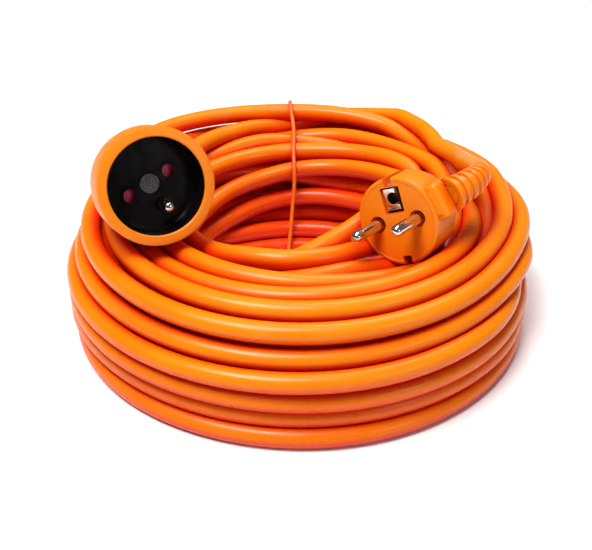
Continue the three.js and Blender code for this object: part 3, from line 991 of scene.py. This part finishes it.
    def _even(self, points: np.ndarray) -> np.ndarray:
        """Spaces points evenly on a smooth curve.

        Args:
            points: The points that the curve goes through.

        Returns:
            Points along it, ring_step apart.
        """
        run = np.concatenate([[0], np.cumsum(np.linalg.norm(np.diff(points, axis=0), axis=1))])
        wanted = np.linspace(0, run[-1], int(run[-1] / self.ring_step) + 1)
        slope = np.gradient(points, run, axis=0)
        j = np.clip(np.searchsorted(run, wanted, side="right") - 1, 0, len(run) - 2)
        h = (run[j + 1] - run[j])[:, None]
        t = ((wanted - run[j])[:, None]) / h
        return (
            (2 * t**3 - 3 * t**2 + 1) * points[j] + (t**3 - 2 * t**2 + t) * h * slope[j]
            + (3 * t**2 - 2 * t**3) * points[j + 1] + (t**3 - t**2) * h * slope[j + 1]
        )


def tube(name: str, path: np.ndarray, radius: float, sides: int, closed: bool = False) -> bpy.types.Object:
    """A round tube along a path, with a UV map of its length and girth.

    Args:
        name: The piece's name.
        path: Its centre line in metres.
        radius: Its radius in metres.
        sides: Sides of each ring.
        closed: Whether its last ring joins its first.

    Returns:
        The tube, with round end caps unless it is closed.
    """
    tangent = np.roll(path, -1, 0) - np.roll(path, 1, 0) if closed else np.gradient(path, axis=0)
    tangent /= np.linalg.norm(tangent, axis=1)[:, None]
    side = np.cross(tangent[0], (0, 0, 1))
    rings = []
    turn = 2 * np.pi * np.arange(sides) / sides
    for centre, ahead in zip(path, tangent):
        side = side - ahead * (side @ ahead)
        side /= np.linalg.norm(side)
        up = np.cross(ahead, side)
        rings.append(centre + radius * (np.cos(turn)[:, None] * side + np.sin(turn)[:, None] * up))
    count = len(path)
    faces = []
    for i in range(count if closed else count - 1):
        a, b = i * sides, ((i + 1) % count) * sides
        faces += [(a + k, b + k, b + (k + 1) % sides, a + (k + 1) % sides) for k in range(sides)]
    quads = len(faces)
    if not closed:
        faces += [tuple(range(sides)), tuple(range(count * sides - 1, (count - 1) * sides - 1, -1))]
    mesh = bpy.data.meshes.new(name)
    mesh.from_pydata(np.vstack(rings).tolist(), [], faces)
    run = np.concatenate([[0], np.cumsum(np.linalg.norm(np.diff(path, axis=0), axis=1))])
    layer = mesh.uv_layers.new(name="along")
    coords = np.zeros((len(mesh.loops), 2))
    i, k = np.divmod(np.arange(quads), sides)
    far = run[np.minimum(i + 1, count - 1)]
    corners = np.stack([
        np.stack([run[i], k / sides], -1), np.stack([far, k / sides], -1),
        np.stack([far, (k + 1) / sides], -1), np.stack([run[i], (k + 1) / sides], -1),
    ], 1)
    coords[:quads * 4] = corners.reshape(-1, 2)
    layer.data.foreach_set("uv", coords.ravel())
    mesh.validate()
    piece = bpy.data.objects.new(name, mesh)
    bpy.context.scene.collection.objects.link(piece)
    pick(piece)
    bpy.ops.object.mode_set(mode="EDIT")
    bpy.ops.mesh.select_all(action="SELECT")
    bpy.ops.mesh.normals_make_consistent(inside=False)
    bpy.ops.object.mode_set(mode="OBJECT")
    smooth(piece, 60)
    return piece


@dataclass
class Cord:
    """The sheathed cord and the wire tie that holds its coil."""

    winding: CordWinding
    sides: int = 16
    tie_at: float = -6.8
    tie_radius: float = 0.95
    tie_lean: float = 2.6
    tie_rings: int = 110

    def build(self) -> bpy.types.Object:
        """Winds the cord and ties it.

        Returns:
            The cord.
        """
        self.path = self.winding.centre_line()
        steps = np.linalg.norm(np.diff(self.path, axis=0), axis=1)
        self.length = float(steps.sum())
        LOG.info("cord: %.2f m in %d rings", self.length, len(self.path))
        piece = tube("cord", self.path, self.winding.diameter / 2 * MM, self.sides)
        self.piece = finish_piece(piece, SHEATH, ("cord_coil", "socket_lead", "plug_lead"))
        for node in ("socket_cord_end", "plug_cord_end"):
            SHEATH_END.dress(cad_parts[node])
        self.tie = self._tie()
        return self.piece

    def _tie(self) -> bpy.types.Object:
        """Draws the tie tight round the turns at the back."""
        reach = self.winding.diameter / 2 + self.tie_radius
        section = self._section(self.tie_at * MM) / MM
        turn = np.linspace(0, 2 * np.pi, 24, endpoint=False)
        cloud = [spot + reach * np.array([np.cos(a), np.sin(a)]) for spot in section for a in turn]
        hull = self._hull(np.array(cloud))
        hull[:, 1] = np.maximum(hull[:, 1], self.tie_radius)
        round_trip = np.vstack([hull, hull[:1]])
        run = np.concatenate([[0], np.cumsum(np.linalg.norm(np.diff(round_trip, axis=0), axis=1))])
        wanted = np.linspace(0, run[-1], self.tie_rings, endpoint=False)
        y, z = (np.interp(wanted, run, round_trip[:, k]) for k in (0, 1))
        x = self.tie_at + self.tie_lean * (1 - ease(58, 100, y)) * ease(4, 34, z)
        x = x + 0.25 * np.sin(wanted * 0.21)
        loop = np.stack([x, y, z], -1) * MM
        piece = tube("wire_tie", loop, self.tie_radius * MM, 12, closed=True)
        return finish_piece(piece, TIE_COATING, ("coil_tie",))

    def _section(self, x: float) -> np.ndarray:
        """Finds where the turns pass a plane at the back.

        Args:
            x: The plane's place in metres.

        Returns:
            The y and z of each crossing in metres.
        """
        before, after = self.path[:-1], self.path[1:]
        passes = ((before[:, 0] - x) * (after[:, 0] - x) <= 0) & (before[:, 1] > 0.02)
        a, b = before[passes], after[passes]
        t = ((x - a[:, 0]) / (b[:, 0] - a[:, 0]))[:, None]
        return (a + (b - a) * t)[:, 1:]

    @staticmethod
    def _hull(points: np.ndarray) -> np.ndarray:
        """The outline of a string drawn tight round points.

        Args:
            points: The points, as two columns.

        Returns:
            The outline's corners, in order.
        """
        ranked = sorted(map(tuple, points))
        sides = []
        for run in (ranked, ranked[::-1]):
            chain: list[tuple[float, float]] = []
            for p in run:
                while len(chain) > 1:
                    (ax, ay), (bx, by) = chain[-2], chain[-1]
                    if (bx - ax) * (p[1] - ay) - (by - ay) * (p[0] - ax) > 0:
                        break
                    chain.pop()
                chain.append(p)
            sides += chain[:-1]
        return np.array(sides)


# ---------------------------------------------------------------- inline socket


@dataclass
class InlineSocket:
    """The round socket: an orange shell, a black cup with its holes, shutter, pivot and earth pin."""

    place: Place
    rim: float = 23.9
    recess: float = 19.8
    floor: float = -15.0
    pin_spread: float = 9.5
    earth_offset: float = 10.0

    def build(self) -> list[bpy.types.Object]:
        """Makes the socket's pieces and dresses its CAD nodes.

        Returns:
            The new pieces.
        """
        pieces = [self._shell(), self._cup(), self._pivot(), self._earth_pin(), self._sleeve()]
        for name, finish in (
            ("shutter", CRIMSON), ("shutter_spring", STEEL), ("contact_carrier", CARRIER_GREY),
            ("live_contact", BRASS), ("neutral_contact", BRASS), ("socket_core_brown", CORE_BROWN),
            ("socket_core_blue", CORE_BLUE), ("socket_core_earth", CORE_EARTH),
        ):
            finish.dress(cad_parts[name])
        return pieces

    def _shell(self) -> bpy.types.Object:
        """The moulded shell with its flat rim."""
        r, mouth = self.rim, self.recess
        outline = [
            (mouth, -1.4), (mouth, -0.35), (mouth + 0.35, 0), (r - 0.75, 0), (r - 0.25, -0.2), (r, -0.75),
            (r, -14.4), (r - 0.15, -16), (22.9, -22), (21.9, -26), (20.4, -30), (18.7, -34), (16.9, -38),
            (15.3, -42), (14.2, -45.5), (13.5, -49), (13.2, -51.4), (12.6, -52), (6.3, -52), (6.3, -48.5),
            (11, -48.5), (13.6, -39), (16.6, -31.5), (19, -25.5), (21.6, -23.5), (21.6, -1.4),
        ]
        piece = turned("socket_shell", outline, 128, Ends.RING)
        smooth(piece, 32)
        self.place.put(piece)
        return finish_piece(piece, MOULDED, ("socket_housing",))

    def _cup(self) -> bpy.types.Object:
        """The black cup with the contact holes and its raised ring."""
        floor, mouth = self.floor, self.recess
        outline = [
            (21.3, -18), (21.3, -1.7), (mouth + 0.25, -1.7), (mouth, -2.0), (mouth, floor + 0.9),
            (mouth - 0.9, floor), (6.2, floor), (6.2, floor + 0.35), (5.0, floor + 0.35), (5.0, floor),
        ]
        piece = turned("socket_cup", outline, 128)
        holes = [rod(2.7, -30, -10, (side * self.pin_spread, 0)) for side in (-1, 1)]
        combine(piece, "UNION", *(self._collar(side * self.pin_spread, 0) for side in (-1, 1)))
        combine(piece, "DIFFERENCE", *holes, rod(2.7, -30, -10, (0, -self.earth_offset)), rod(1.9, -30, -10))
        smooth(piece, 30)
        self.place.put(piece)
        return finish_piece(piece, BLACK, ("socket_insert",))

    def _collar(self, x: float, y: float) -> bpy.types.Object:
        """A low raised collar round a contact hole.

        Args:
            x: The hole's place along the socket's X axis, in millimetres.
            y: Its place along Y.

        Returns:
            The collar, in the socket's own axes.
        """
        floor = self.floor
        piece = turned("collar", [(3.9, floor - 1), (3.9, floor + 0.3), (3.6, floor + 0.5)], 64)
        piece.location = (x * MM, y * MM, 0)
        settle(piece)
        return piece

    def _pivot(self) -> bpy.types.Object:
        """The textured disc that the shutter turns on."""
        floor = self.floor
        outline = [
            (1.6, -25), (1.6, floor + 0.3), (4.2, floor + 0.3), (4.2, floor + 0.95), (3.95, floor + 1.25),
            (2.6, floor + 1.3), (2.5, floor + 1.15), (0.8, floor + 1.15),
        ]
        piece = turned("shutter_post", outline, 64)
        smooth(piece, 30)
        self.place.put(piece)
        return finish_piece(piece, PIVOT_GREY, ("shutter_pivot",))

    def _earth_pin(self) -> bpy.types.Object:
        """The socket's earth pin with its rounded tip."""
        outline = [
            (1.35, -39), (2.1, -39), (2.1, -36.4), (2.4, -36), (2.4, -26), (3.2, -25.6), (3.2, -23.6),
            (2.4, -23.2), (2.4, -3.6), (2.3, -2.8), (2.05, -2.1), (1.65, -1.55), (1.15, -1.2), (0.5, -1.02),
        ]
        piece = turned("earth_pin", outline, 48)
        piece.location = (0, -self.earth_offset * MM, 0)
        settle(piece)
        smooth(piece, 40)
        self.place.put(piece)
        return finish_piece(piece, NICKEL, ("socket_earth_pin",))

    def _sleeve(self) -> bpy.types.Object:
        """The ribbed strain relief behind the shell."""
        bore, start, end, ribs = 4.55, -52.3, -76.0, 6
        pitch = (start - end) / ribs
        outline = [(bore, -48.4), (6.2, -46.6), (7.6, -46.6), (7.6, -48.2), (6, -48.2), (6, start)]
        for i in range(ribs):
            r = 8 - 2.6 * i / (ribs - 1)
            z = start - i * pitch
            outline += [(r - 0.25, z), (r, z - 0.25), (r, z - pitch * 0.5), (r - 0.3, z - pitch * 0.56)]
            if i < ribs - 1:
                outline += [(r - 1, z - pitch * 0.62), (r - 1, z - pitch)]
        outline += [(5.2, end), (bore, end)]
        piece = turned("socket_sleeve", outline, 72, Ends.RING)
        smooth(piece, 35)
        self.place.put(piece)
        return finish_piece(piece, MOULDED, ("socket_strain_relief",))


# ---------------------------------------------------------------- angled plug


@dataclass
class AngledPlug:
    """The moulded plug: disc, neck, pins, earth contact, side clips and bent sleeve."""

    place: Place
    lead: Sequence[Point]
    face: float = 18.4
    depth: float = 20.0
    pin_spread: float = 9.5
    pin_length: float = 19.0
    neck_turn: float = 14.0

    def build(self) -> list[bpy.types.Object]:
        """Makes the plug's pieces and dresses its CAD nodes.

        Returns:
            The new pieces and the CAD nodes that show, which all go with the cord.
        """
        pieces = [self._body(), *self._pins(), self._earth_contact(), *self._clips(), self._sleeve()]
        for name, finish in (
            ("plug_bridge", CARRIER_GREY), ("plug_core_brown", CORE_BROWN), ("plug_core_blue", CORE_BLUE),
            ("plug_core_earth", CORE_EARTH), ("plug_cord_end", SHEATH_END),
        ):
            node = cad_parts[name]
            finish.dress(node)
            pieces.append(node)
        return pieces

    def _body(self) -> bpy.types.Object:
        """The moulded disc and its neck, with holes, window, notches and a plate on the neck."""
        r, d = self.face, self.depth
        outline = [
            (13.4, -d), (14.3, -d + 0.15), (16.2, -d + 1.1), (17.1, -d + 2.2), (18.0, -d + 4.6), (r, -13.6),
            (r, -0.9), (r - 0.25, -0.3), (r - 0.85, 0), (r - 1.5, 0), (r - 1.75, -0.18), (r - 2.3, -0.18),
        ]
        piece = turned("plug_moulding", outline, 128)
        neck = block((22, 15.5, 13.5), (11, 0, -8.4), self.neck_turn, 2.2)
        plate = block((9.5, 10.5, 1.2), (15.2, 0, -1.7), self.neck_turn, 0.45)
        combine(piece, "UNION", neck, plate)
        x = self.pin_spread
        combine(
            piece, "DIFFERENCE", self._exit_way(), self._core_way(), rod(13.6, -17.4, -4.6),
            rod(2.7, -10, 1, (x, 0)), rod(2.7, -10, 1, (-x, 0)), rod(3.5, -1.6, 1, (x, 0)),
            rod(3.5, -1.6, 1, (-x, 0)), block((9, 11, 6), (0, 9, -2.5), 0, 0.6),
            block((4, 4, 15), (0, r - 1.7, -6)), block((4, 4, 15), (0, -r + 1.7, -6)),
            block((4, 3.2, 2.4), (0, 13.6, -12)), block((4, 3.2, 2.4), (0, -13.6, -12)),
        )
        smooth(piece, 32)
        self.place.put(piece)
        return finish_piece(piece, MOULDED, ("plug_body",))

    def _exit_way(self) -> bpy.types.Object:
        """The room that the sleeve takes in the neck, in the plug's own axes."""
        path = self._bend()[:26] * MM
        way = tube("way", path, 7.5 * MM, 32)
        way.matrix_world = self.place.matrix().inverted()
        bpy.context.view_layer.update()
        settle(way)
        return way

    def _core_way(self) -> bpy.types.Object:
        """The channel that the cores take through the neck."""
        ends = np.array([(8, 2, -12), (14.6, 3.6, -10.5), (21.3, 5.3, -9)]) * MM
        return tube("way", ends, 5.2 * MM, 24)

    def _bend(self) -> np.ndarray:
        """The plug lead's line, a point to each millimetre, in millimetres."""
        line = through(self.lead)
        run = np.concatenate([[0], np.cumsum(np.linalg.norm(np.diff(line, axis=0), axis=1))])
        wanted = np.arange(0, 40, 1.0)
        return np.stack([np.interp(wanted, run, line[:, k]) for k in range(3)], -1)

    def _pins(self) -> list[bpy.types.Object]:
        """The two round pins, each with a domed tip."""
        tip = self.pin_length
        outline = [
            (1.35, -12.4), (2.1, -12.4), (2.1, -11), (3.3, -10.9), (3.3, -9.7), (2.4, -9.7),
            (2.4, tip - 2.4), (2.33, tip - 1.75), (2.1, tip - 1.1), (1.7, tip - 0.6), (1.15, tip - 0.22),
            (0.5, tip - 0.04),
        ]
        made = []
        for side, name in ((-1, "left"), (1, "right")):
            piece = turned(f"pin_{name}", outline, 48)
            piece.location = (side * self.pin_spread * MM, 0, 0)
            settle(piece)
            smooth(piece, 40)
            self.place.put(piece)
            made.append(finish_piece(piece, NICKEL, (f"plug_pin_{name}",)))
        return made

    def _earth_contact(self) -> bpy.types.Object:
        """The metal block in the window, with its round hole and a folded tongue."""
        piece = block((6.8, 9.2, 3.2), (-0.7, 9.3, -2.8), 0, 0.3)
        combine(piece, "UNION", rod(3.3, -16.2, -4.2, (0, 9.6)))
        combine(piece, "DIFFERENCE", rod(2.5, -15, 0, (0, 9.6)), block((1.1, 7.2, 3), (2.1, 10.4, -1.2)))
        piece.name = piece.data.name = "earth_contact"
        smooth(piece, 30)
        self.place.put(piece)
        return finish_piece(piece, NICKEL, ("plug_earth_contact",))

    def _clips(self) -> list[bpy.types.Object]:
        """The two spring strips in the side notches."""
        made = []
        for side, name in ((1, "upper"), (-1, "lower")):
            piece = block((3.4, 0.7, 10.5), (0, side * 15.1, -7.4), 0, 0.2)
            combine(piece, "UNION", block((3.4, 1.9, 0.8), (0, side * 14.3, -12)))
            piece.name = piece.data.name = f"clip_{name}"
            smooth(piece, 30)
            self.place.put(piece)
            made.append(finish_piece(piece, STEEL, (f"earth_clip_{name}",)))
        return made

    def _sleeve(self) -> bpy.types.Object:
        """The ribbed strain relief, bent along the cord."""
        bore, start, end, ribs = 4.55, 0.3, 22.0, 6
        pitch = (end - start) / ribs
        outline = [(bore, start)]
        for i in range(ribs):
            r = 7 - 1.7 * i / (ribs - 1)
            z = start + i * pitch
            outline += [(r - 0.25, z), (r, z + 0.25), (r, z + pitch * 0.48), (r - 0.3, z + pitch * 0.55)]
            if i < ribs - 1:
                outline += [(r - 1.1, z + pitch * 0.62), (r - 1.1, z + pitch * 0.98)]
        outline += [(5.1, end), (bore, end), (bore, end * 0.75), (bore, end * 0.5), (bore, end * 0.25)]
        piece = turned("plug_sleeve", outline, 72, Ends.RING)
        line = self._bend()
        ahead = np.gradient(line, axis=0)
        ahead /= np.linalg.norm(ahead, axis=1)[:, None]
        at = np.arange(len(line), dtype=float)
        for vertex in piece.data.vertices:
            x, y, z = (c / MM for c in vertex.co)
            tangent = np.array([np.interp(z, at, ahead[:, k]) for k in range(3)])
            tangent /= np.linalg.norm(tangent)
            centre = np.array([np.interp(z, at, line[:, k]) for k in range(3)])
            across = np.array([0, 0, 1.0]) - tangent * tangent[2]
            across /= np.linalg.norm(across)
            vertex.co = (centre + across * x + np.cross(tangent, across) * y) * MM
        smooth(piece, 35)
        return finish_piece(piece, MOULDED, ("plug_strain_relief",))


# ---------------------------------------------------------------- the whole extension cord


def main() -> None:
    """Builds the studio, the cord, the socket and the plug, in that order."""
    logging.basicConfig(level=logging.INFO, format="%(name)s %(message)s")
    Studio().build()
    cord = Cord(CordWinding())
    cord.build()
    InlineSocket(SOCKET_PLACE).build()
    plug = AngledPlug(PLUG_PLACE, CordWinding.plug_lead)
    plug.build()


if __name__ == "__main__":
    main()
